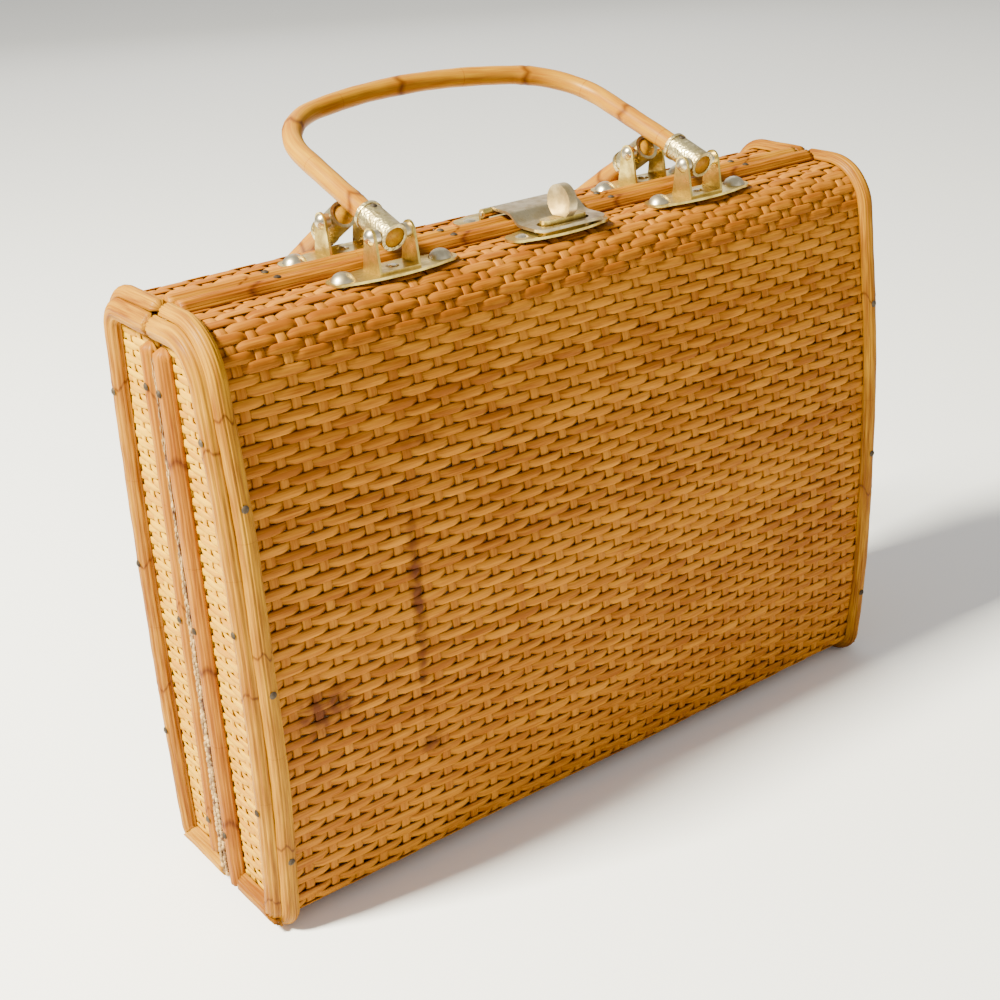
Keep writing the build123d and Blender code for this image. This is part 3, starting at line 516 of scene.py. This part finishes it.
def woven_end(tray, end):
    outline = outlines[tray]
    way = tray_side[tray]
    draw = random.Random(tray + str(end))
    wall = Strands()
    low = bottom_z + end_margin
    high = top_z - end_margin
    rows = int((high - low) / end_row_pitch)
    pitch = (high - low) / rows
    for row in range(rows):
        z_row = low + (row + 0.5) * pitch + draw.uniform(-0.1, 0.1) * mm
        reach = float(outline.face_u(z_row)) - end_reed_inset
        if z_row > top_z - corner_depth:
            reach -= corner_inset
        u = np.linspace(rim_gap + mat_edge, reach, end_reed_points)
        phase = np.cos(math.pi * ((u - end_stake_start) / end_stake_pitch + row))
        lift = np.tanh(2.6 * (phase + 0.35))
        height = end_reed_wave * lift - mat_thickness / 2
        z = z_row + 0.15 * mm * np.sin(u * 300 + row)
        slope = np.gradient(height, u)
        centre = np.stack((end * (half_length + height), way * u, z), axis=1)
        out = unit(np.stack((np.full_like(u, end), -way * slope, np.zeros_like(u)), axis=1))
        side = np.tile(np.array((0.0, 0.0, 1.0)), (len(u), 1)) + out * draw.uniform(-0.12, 0.12)
        half_width = end_reed_half_width * (1 + 0.05 * np.sin(u * 700 + row)) * (0.94 + 0.06 * lift)
        grain = reed_grain(u, half_width, draw.uniform(0, 1))
        rings = reed_rings(centre, side, out, half_width, end_reed_half_thickness)
        wall.add(rings, grain, draw.random(), mirrored=end * way < 0)
    z = np.linspace(low, high, rows * 2 + 1)
    for index in range(end_stake_count):
        u = np.full_like(z, end_stake_start + (index - 1) * end_stake_pitch)
        inside = (u > rim_gap + stake_inset) & (u < outline.face_u(z) - end_stake_inset)
        if inside.sum() < least_stations:
            continue
        lift = -np.cos(math.pi * (index - 1 + (z - low) / pitch - 0.5))
        height = end_stake_wave * lift - mat_thickness / 2 + end_stake_lift
        centre = np.stack((end * (half_length + height), way * u, z), axis=1)[inside]
        out = np.tile(np.array((float(end), 0.0, 0.0)), (len(centre), 1))
        side = np.tile(np.array((0.0, -way * 1.0, 0.0)), (len(centre), 1))
        half_width = np.full(len(centre), end_stake_half_width)
        grain = reed_grain(z[inside], half_width, draw.uniform(0, 1))
        rings = reed_rings(centre, side, out, half_width, end_stake_half_thickness)
        wall.add(rings, grain, draw.random(), mirrored=end * way < 0)
    return wall


for tray in ("front", "rear"):
    for end in (-1, 1):
        name = tray + ("_left_end_weave" if end < 0 else "_right_end_weave")
        new_piece(name, woven_end(tray, end), end_cane, tray + "_half", tray + "_woven_ends")


# ---------------------------------------------------------------- split-cane poles
# Every edge of a tray is bound by half of a split rattan pole, its flat side nailed
# down: bent over the face's ends, mitred at the end walls' feet, straight at the rim.
joint_gap = (55, 95)          # millimetres from one joint of the cane to the next
joint_end_clearance = 8 * mm


def knot_places(draw, length, first):
    places = []
    run = first
    while run < length - joint_end_clearance:
        places.append(run)
        run += draw.uniform(*joint_gap) * mm
    return places


pole_sides = 31
rod_sides = 16
groove_angles = (0.42, 0.80, 1.15, 1.62, 2.05, 2.45, 2.80)
groove_depths = (0.08, 0.14, 0.10, 0.07, 0.14, 0.09, 0.10)
groove_reach = 0.075
pole_base = np.array([(-0.4, 0.0), (0.4, 0.0)])
joint_swell = 0.05
swell_reach = 3 * mm
pinch_reach = 0.8 * mm
rounded_length = 2.2 * mm
blunt_end = 0.35


def split_section(tone):
    """Half round, with shallow grooves along it, on a flat base."""
    angle = np.linspace(0, math.pi, pole_sides)
    depth = np.ones(pole_sides)
    for number, (place, cut) in enumerate(zip(groove_angles, groove_depths)):
        off = angle - place - 0.12 * math.sin(tone * 40 + number)
        depth -= cut * np.exp(-(off / groove_reach) ** 2)
    arch = np.stack((np.cos(angle), np.sin(angle)), axis=1) * depth[:, None]
    return np.concatenate((arch, pole_base))


def round_section():
    angle = np.linspace(0, 2 * math.pi, rod_sides, endpoint=False)
    return np.stack((np.cos(angle), np.sin(angle)), axis=1)


def pole_strip(strands, centre, side, out, half_width, height, tone, knots, rounding=(1, 1), full=False):
    """One pole along the centre line, half round unless full, swelling a little at its joints."""
    run = run_along(centre)
    section = round_section() if full else split_section(tone)
    swelling = np.ones(len(run))
    away = np.full(len(run), far_from_knots)
    for place in knots:
        gap = run - place
        swelling += (joint_swell * np.exp(-(gap / swell_reach) ** 2)
                     - joint_swell * np.exp(-(gap / pinch_reach) ** 2))
        away = np.where(np.abs(gap) < np.abs(away), gap, away)
    swelling += 0.012 * np.sin(run * 190 + tone * 9) + 0.010 * np.sin(run * 430 + tone * 5)
    ease = np.ones(len(run))
    for from_end, wanted in ((run, rounding[0]), (run[-1] - run, rounding[1])):
        if wanted:
            near = np.clip(from_end / (wanted * rounded_length), 0, 1)
            ease *= blunt_end + (1 - blunt_end) * np.sqrt(np.clip(1 - (1 - near) ** 2, 0, 1))
    wide = half_width * swelling * ease
    tall = height * swelling * ease
    rings = (centre[:, None, :] + side[:, None, :] * (section[None, :, 0:1] * wide[:, None, None])
             + out[:, None, :] * (section[None, :, 1:2] * tall[:, None, None]))
    grain = np.zeros(rings.shape)
    grain[:, :, 0] = section[None, :, 0] * half_width + tone
    grain[:, :, 1] = section[None, :, 1] * height
    grain[:, :, 2] = run[:, None] + tone * 5
    turn = section[None, :, 0]
    knot = away[:, None] + 2.2 * mm * (turn * turn) + 1.8 * mm * np.sin(turn * 5 + tone * 20)
    strands.add(rings, grain, tone, knot)


def flip_rings(strands):
    strands.quads = [q[:, ::-1] for q in strands.quads]
    strands.caps = [c[::-1] for c in strands.caps]
    return strands


face_pole_half_width = 3.75 * mm
face_pole_height = 3.8 * mm
face_pole_foot = 8.5 * mm     # the pole stops this far short of the rim, under the bag
face_pole_points = 170
end_pole_half_width = 4.5 * mm
end_pole_points = 150
outline_samples = 400
mitre_top = 30 * mm
pole_bed = 0.1 * mm           # how far a pole's flat side is let into the cane under it
end_pole_foot = 5.0 * mm      # its centre line stops about this far above the bottom
end_joints_reach = 0.27       # joints may come this far along it, a little past its end
# from a pole's start at the top to the cane's first joint, at the left and the right end
first_face_joint = {-1: 0.055, 1: 0.085}
first_end_joint = {-1: 0.06, 1: 0.10}
face_pole_x = half_length - face_pole_half_width
pole_yellow = cane_material("edge_pole_cane", (0.43, 0.196, 0.001), (0.17, 0.050, 0.0004),
                            (0.035, 0.008, 0.001), gloss=0.42, fibre_depth=0.9, varnish=0.05)
rim_cane = {
    "front": cane_material("front_rim_cane", (0.36, 0.138, 0.001), (0.18, 0.048, 0.0005),
                           (0.022, 0.004, 0.001), gloss=0.42, fibre_depth=0.7, varnish=0.04,
                           joint_width=2.4 * mm),
    "rear": cane_material("rear_rim_cane", (0.42, 0.185, 0.001), (0.24, 0.078, 0.0005),
                          (0.03, 0.006, 0.001), gloss=0.42, fibre_depth=0.6, varnish=0.04,
                          joint_width=1.2 * mm)}


def face_pole(tray, end):
    outline = outlines[tray]
    way = tray_side[tray]
    draw = random.Random("face" + tray + str(end))
    run = np.linspace(0.0, outline.length - face_pole_foot, face_pole_points)
    u, z, out_u, out_z = outline.at(run)
    wobble = 0.25 * mm * np.sin(run * 60 + end)
    centre = np.stack((end * (face_pole_x + wobble), way * (u - pole_bed * out_u), z), axis=1)
    side = np.tile(np.array((1.0, 0.0, 0.0)), (len(run), 1))
    out = np.stack((np.zeros_like(u), way * out_u, out_z), axis=1)
    strands = Strands()
    knots = knot_places(draw, run[-1], first_face_joint[end])
    pole_strip(strands, centre, side, out, face_pole_half_width, face_pole_height, draw.random(), knots)
    return strands if way < 0 else flip_rings(strands)


def end_pole(tray, end):
    outline = outlines[tray]
    way = tray_side[tray]
    draw = random.Random("end" + tray + str(end))
    u, z, out_u, out_z = outline.at(np.linspace(0.0, outline.length, outline_samples))
    u = u - out_u * end_pole_half_width
    z = z - out_z * end_pole_half_width
    last = int(np.argmax(z < bottom_z + end_pole_foot))
    pick = np.linspace(0, last - 1, end_pole_points)
    u, z, out_u, out_z = [np.interp(pick, np.arange(last), a[:last]) for a in (u, z, out_u, out_z)]
    centre = np.stack((np.full_like(u, end * (half_length - pole_bed)), way * u, z), axis=1)
    side = np.stack((np.zeros_like(u), way * out_u, out_z), axis=1)
    out = np.tile(np.array((float(end), 0.0, 0.0)), (len(u), 1))
    strands = Strands()
    knots = knot_places(draw, end_joints_reach, first_end_joint[end])
    pole_strip(strands, centre, side, out, end_pole_half_width, end_pole_half_width, draw.random(), knots,
               rounding=(0, 0))
    # the foot is cut at forty-five degrees to meet the bottom end pole
    rings = strands.points[0].reshape(end_pole_points, -1, 3)
    height = rings[:, :, 2]
    limit = bottom_z + (outline.face_u(bottom_z) - np.abs(rings[:, :, 1]))
    rings[:, :, 2] = np.where(height < mitre_top, np.maximum(height, limit), height)
    strands.points[0] = rings.reshape(-1, 3)
    return strands if way * end < 0 else flip_rings(strands)


straight_step = 2 * mm
least_points = 8


def straight_pole(start, finish, side, out, half_width, height, tone, knots, rounding=(0, 0)):
    start = np.array(start)
    finish = np.array(finish)
    count = max(least_points, int(np.linalg.norm(finish - start) / straight_step))
    centre = start + (finish - start) * np.linspace(0, 1, count)[:, None]
    side_line = np.tile(np.array(side, dtype=float), (count, 1))
    out_line = np.tile(np.array(out, dtype=float), (count, 1))
    strands = Strands()
    pole_strip(strands, centre, side_line, out_line, half_width, height, tone, knots, rounding)
    return strands


def merge(parts):
    whole = Strands()
    for part in parts:
        whole.points += part.points
        whole.quads += [q + whole.count for q in part.quads]
        whole.caps += [c + whole.count for c in part.caps]
        whole.grain += part.grain
        whole.tone += part.tone
        whole.knot += part.knot
        whole.count += part.count
    return whole


def outward(strands):
    """Turns the faces of a pole outwards, if one of its quads looks inwards."""
    points = strands.points[0]
    quad = strands.quads[0][len(strands.quads[0]) // 4]
    a, b, c = points[quad[:3]]
    if np.dot(np.cross(b - a, c - b), (a + c) / 2 - points.mean(axis=0)) < 0:
        flip_rings(strands)
    return strands


rim_top_u = 0.5 * mm
rim_low_u = 2.8 * mm
top_rim_u = 4.5 * mm
bottom_rim_u = 6.8 * mm
rim_half_width = 4 * mm
bottom_rim_height = 3.6 * mm
rim_reach = half_length - 7.6 * mm
end_rim_half_width = 4.5 * mm
end_rim_foot = {"front": 0.4 * mm, "rear": 9.2 * mm}
end_rim_top = top_z - 11.0 * mm
foot_clearance = 0.15 * mm


def rim_u(z, width):
    share = (top_z - z) / (top_z - bottom_z)
    return rim_top_u + (rim_low_u - rim_top_u) * share + width / 2


for tray in ("front", "rear"):
    way = tray_side[tray]
    body = tray + "_half"
    for end, hand in ((-1, "left"), (1, "right")):
        name = tray + "_" + hand + "_face_pole"
        new_piece(name + "_cane", face_pole(tray, end), pole_yellow, body, name)
        name = tray + "_" + hand + "_end_pole"
        new_piece(name + "_cane", end_pole(tray, end), pole_yellow, body, name)
    draw = random.Random("rim" + tray)
    for level, u, z, up_or_down, height, first in (
            ("top", top_rim_u, top_z, 1, rim_half_width, 0.03),
            ("bottom", bottom_rim_u, bottom_z, -1, bottom_rim_height, 0.05)):
        pole = straight_pole((-rim_reach, way * u, z), (rim_reach, way * u, z), (0, 1, 0),
                             (0, 0, up_or_down), rim_half_width, height, draw.random(),
                             knot_places(draw, 2 * rim_reach, first))
        new_piece(tray + "_" + level + "_rim_cane", outward(pole), rim_cane[tray], body,
                  tray + "_" + level + "_rim_pole")
    ends = []
    feet = []
    z_low = bottom_z + end_rim_foot[tray]
    corner = outlines[tray].face_u(bottom_z)
    rim_width = 2 * end_rim_half_width
    foot_z = bottom_z + end_pole_half_width
    for end in (-1, 1):
        x = end * half_length
        ends.append(outward(straight_pole(
            (x, way * rim_u(z_low, rim_width), z_low),
            (x, way * rim_u(end_rim_top, rim_width), end_rim_top), (0, 1, 0), (end, 0, 0),
            end_rim_half_width, end_rim_half_width, draw.random(),
            knot_places(draw, end_rim_top - z_low, 0.022 + 0.03 * draw.random()), (0.6, 1))))
        inner = rim_gap
        if tray == "front":
            inner = rim_u(bottom_z, rim_width) + end_rim_half_width + foot_clearance
        foot = straight_pole((x, way * inner, foot_z), (x, way * corner, foot_z), (0, 0, 1), (end, 0, 0),
                             end_pole_half_width, end_pole_half_width, draw.random(), [])
        rings = foot.points[0].reshape(-1, pole_sides + len(pole_base), 3)
        limit = corner - (rings[:, :, 2] - bottom_z)
        rings[:, :, 1] = way * np.minimum(np.abs(rings[:, :, 1]), limit)
        foot.points[0] = rings.reshape(-1, 3)
        feet.append(outward(foot))
    new_piece(tray + "_end_rim_canes", merge(ends), rim_cane[tray], body,
              tray + "_end_rim_poles")
    new_piece(tray + "_bottom_end_canes", merge(feet), pole_yellow, body,
              tray + "_bottom_end_poles")


# ---------------------------------------------------------------- handles
# Each handle is one round rattan rod, steamed and bent to a flat-topped loop. It keeps
# its skin, so the joints of the cane show as brown rings.
pivot_z = 257.0 * mm
fitting_y = 17.0 * mm
rod_radius = 4.1 * mm
handle_step = 1.5 * mm
bend_points = 24
handle_tone = 0.35
# corners of the loop and the radii of its bends, in millimetres, from the pivot
handle_corners = [(-77, -2.8), (-77, 20), (-75.5, 88), (0, 108.7), (75.5, 88), (77, 20), (77, -2.8)]
handle_radii = [120, 36, 170, 36, 120]


def rounded_path(corners, radii, step):
    """Straight runs joined by tangent arcs, as evenly spaced points."""
    points = [np.array(corners[0], dtype=float)]
    for before, corner, after, radius in zip(corners, corners[1:], corners[2:], radii):
        before, corner, after = (np.array(p, dtype=float) for p in (before, corner, after))
        first = (before - corner) / np.linalg.norm(before - corner)
        second = (after - corner) / np.linalg.norm(after - corner)
        half = math.acos(np.clip(np.dot(first, second), -1, 1)) / 2
        reach = radius / math.tan(half)
        start = corner + first * reach
        finish = corner + second * reach
        centre = corner + (first + second) / np.linalg.norm(first + second) * radius / math.sin(half)
        for share in np.linspace(0, 1, bend_points):
            spoke = (start - centre) * (1 - share) + (finish - centre) * share
            points.append(centre + spoke / np.linalg.norm(spoke) * radius)
    points.append(np.array(corners[-1], dtype=float))
    line = np.array(points)
    run = run_along(line)
    even = np.linspace(0, run[-1], int(run[-1] / step))
    return np.stack([np.interp(even, run, line[:, k]) for k in range(2)], axis=1)


def handle(side_way, angle, knots):
    flat = rounded_path([(x * mm, y * mm) for x, y in handle_corners], [r * mm for r in handle_radii],
                        handle_step)
    turn = math.radians(angle)
    centre = np.stack((flat[:, 0], side_way * fitting_y + flat[:, 1] * math.cos(turn),
                       pivot_z + flat[:, 1] * math.sin(turn)), axis=1)
    tangent = unit(np.gradient(centre, axis=0))
    normal = np.tile(np.array((0.0, -math.sin(turn), math.cos(turn))), (len(centre), 1))
    side = np.cross(tangent, normal)
    strands = Strands()
    pole_strip(strands, centre, side, normal, rod_radius, rod_radius, handle_tone, knots, (0, 0),
               full=True)
    return outward(strands)


handle_cane = cane_material("handle_cane_skin", (0.43, 0.205, 0.001), (0.27, 0.092, 0.0004),
                            (0.012, 0.002, 0.0003), gloss=0.32, fibre_depth=0.15, varnish=0.08,
                            joint_width=2.6 * mm)
handle_angle = {"front": 18.2, "rear": -33.0}     # degrees above level, at rest
handle_joints = {"front": [0.027, 0.088, 0.155, 0.218, 0.273, 0.318],
                 "rear": [0.035, 0.105, 0.165, 0.23, 0.29]}
for tray in ("front", "rear"):
    rod = handle(tray_side[tray], handle_angle[tray], handle_joints[tray])
    new_piece(tray + "_handle_cane", rod, handle_cane, tray + "_handle",
              tray + "_handle_rod")


# ---------------------------------------------------------------- metal fittings
# Plates and clevises are pressed brass gone dull, the rivets, hasp and knob are brass
# with worn, yellowed plating, and the sleeves on the handle ends have a hammered skin.
worn_spread = 0.25


def metal_material(name, bright, worn, roughness, pits, pit_scale, relief):
    material, tree, shader = new_material(name)
    place = node(tree, "ShaderNodeTexCoord").outputs["Object"]
    cloud = noise(tree, place, 120.0, 6.0)
    cloud.inputs["Roughness"].default_value = 0.65
    cloud = cloud.outputs["Fac"]
    tree.links.new(two_tones(tree, cloud, 0.40, bright, 0.66, worn), shader.inputs["Base Color"])
    shader.inputs["Metallic"].default_value = 1.0
    tree.links.new(rescaled(tree, cloud, 0.35, 0.7, roughness, roughness + worn_spread),
                   shader.inputs["Roughness"])
    dents = node(tree, pits)
    dents.inputs["Scale"].default_value = pit_scale
    tree.links.new(place, dents.inputs["Vector"])
    rough_skin(tree, shader, dents.outputs[0], relief, 0.2 * mm)
    return material


plate_brass = metal_material("aged_plate_brass", (0.82, 0.62, 0.17), (0.36, 0.24, 0.045), 0.24,
                             "ShaderNodeTexNoise", 300.0, 0.12)
ferrule_brass = metal_material("hammered_brass", (0.72, 0.60, 0.30), (0.24, 0.17, 0.06), 0.27,
                               "ShaderNodeTexVoronoi", 900.0, 0.9)
nickel = metal_material("worn_nickel", (0.74, 0.66, 0.46), (0.42, 0.35, 0.22), 0.20,
                        "ShaderNodeTexNoise", 500.0, 0.10)
hasp_nickel = metal_material("hasp_nickel", (0.56, 0.47, 0.28), (0.30, 0.22, 0.11), 0.27,
                             "ShaderNodeTexNoise", 400.0, 0.15)
knob_brass = metal_material("worn_knob_plating", (0.70, 0.58, 0.34), (0.40, 0.30, 0.15), 0.26,
                            "ShaderNodeTexNoise", 400.0, 0.12)
nail_steel = metal_material("nail_steel", (0.11, 0.085, 0.06), (0.035, 0.025, 0.018), 0.6,
                            "ShaderNodeTexNoise", 700.0, 0.2)


def finish_node(name, material):
    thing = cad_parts[name]
    thing.data.materials.clear()
    thing.data.materials.append(material)


for tray in ("front", "rear"):
    for part in ("_handle_plates", "_clevises"):
        finish_node(tray + part, plate_brass)
    finish_node(tray + "_ferrules", ferrule_brass)
    for part in ("_dome_rivets", "_clevis_rivets", "_handle_pins", "_pivot_washers"):
        finish_node(tray + part, nickel)
    for part in ("_pole_nails", "_hinge_nails", "_ferrule_nails"):
        finish_node(tray + part, nail_steel)
    finish_node(tray + "_hinge_leaves", nickel)
finish_node("lock_plate", plate_brass)
finish_node("hasp_base", plate_brass)
finish_node("hasp_pin", nickel)
finish_node("hasp_plate", hasp_nickel)
finish_node("turn_knob", knob_brass)
finish_node("hinge_pins", nickel)


# ---------------------------------------------------------------- inside
# A bare rattan hoop, bent rods and a slat stiffen each tray, behind a cotton lining
# whose edge is hidden by a gimp braid.
def plain_material(name, low, high, scale, roughness, relief):
    material, tree, shader = new_material(name)
    cloud = noise(tree, node(tree, "ShaderNodeTexCoord").outputs["Object"], scale, 5.0).outputs["Fac"]
    tree.links.new(two_tones(tree, cloud, 0.35, low, 0.7, high), shader.inputs["Base Color"])
    shader.inputs["Roughness"].default_value = roughness
    rough_skin(tree, shader, cloud, relief, 0.3 * mm)
    return material


inner_cane = plain_material("bare_rattan", (0.42, 0.26, 0.11), (0.62, 0.43, 0.22), 90.0, 0.6, 0.3)
lining_cotton = plain_material("lining_cotton", (0.42, 0.31, 0.20), (0.52, 0.40, 0.27), 1400.0, 0.9, 0.5)
braid_cotton = plain_material("gimp_cotton", (0.16, 0.08, 0.04), (0.70, 0.58, 0.42), 520.0, 0.85, 0.6)
# the edge of the braid is a chain of cord loops, cream and brown in turn, which shows where
# the rim poles leave the meeting line
loop_pitch = 2.5 * mm
loop_radius = 1.0 * mm
loop_sides = 8
loop_stand = 3.0 * mm
loop_clear = 0.08 * mm        # keeps a loop 0.06 mm or more on its own side of the meeting line
loop_least = 0.15 * mm        # no loop is drawn where there is no room for one of this radius
loop_points = 6
loop_rim_gap = 0.15 * mm      # between a loop and the rim pole beside it
loop_overlap = 0.56           # half a loop's length, as a share of the pitch
loop_taper = 0.96
loops_low = bottom_z + 4 * mm
loops_high = top_z - 14 * mm
loop_cotton = plain_material("braid_loop_cotton", (0.07, 0.022, 0.004), (0.66, 0.42, 0.15), 260.0, 0.8, 0.5)


def braid_loops(tray):
    way = tray_side[tray]
    draw = random.Random("braid" + tray)
    loops = Strands()
    around = np.linspace(0, 2 * math.pi, loop_sides, endpoint=False)
    along = np.linspace(-1, 1, loop_points)
    for end in (-1, 1):
        z = loops_low
        while z < loops_high:
            room = rim_u(z, 0.0) - loop_rim_gap
            radius = min(loop_radius, room / 2 - loop_clear)
            u = room - radius - draw.uniform(0, 0.1) * mm
            girth = radius * np.sqrt(np.clip(1 - (loop_taper * along) ** 2, 0.02, 1))
            sway = draw.uniform(-0.25, 0.25) * mm
            rings = np.zeros((len(along), loop_sides, 3))
            rings[:, :, 0] = end * (half_length + loop_stand) + sway + girth[:, None] * np.cos(around)
            rings[:, :, 1] = way * u + girth[:, None] * np.sin(around)
            rings[:, :, 2] = z + (along * loop_pitch * loop_overlap)[:, None]
            if radius > loop_least:
                loops.add(rings, rings.copy(), draw.random())
            z += loop_pitch * draw.uniform(0.94, 1.06)
    return loops


for tray in ("front", "rear"):
    new_piece(tray + "_braid_loops", braid_loops(tray), loop_cotton, tray + "_half")
    for part in ("_rim_hoop", "_frame_rods", "_top_batten"):
        finish_node(tray + part, inner_cane)
    finish_node(tray + "_lining", lining_cotton)
    finish_node(tray + "_braid", braid_cotton)
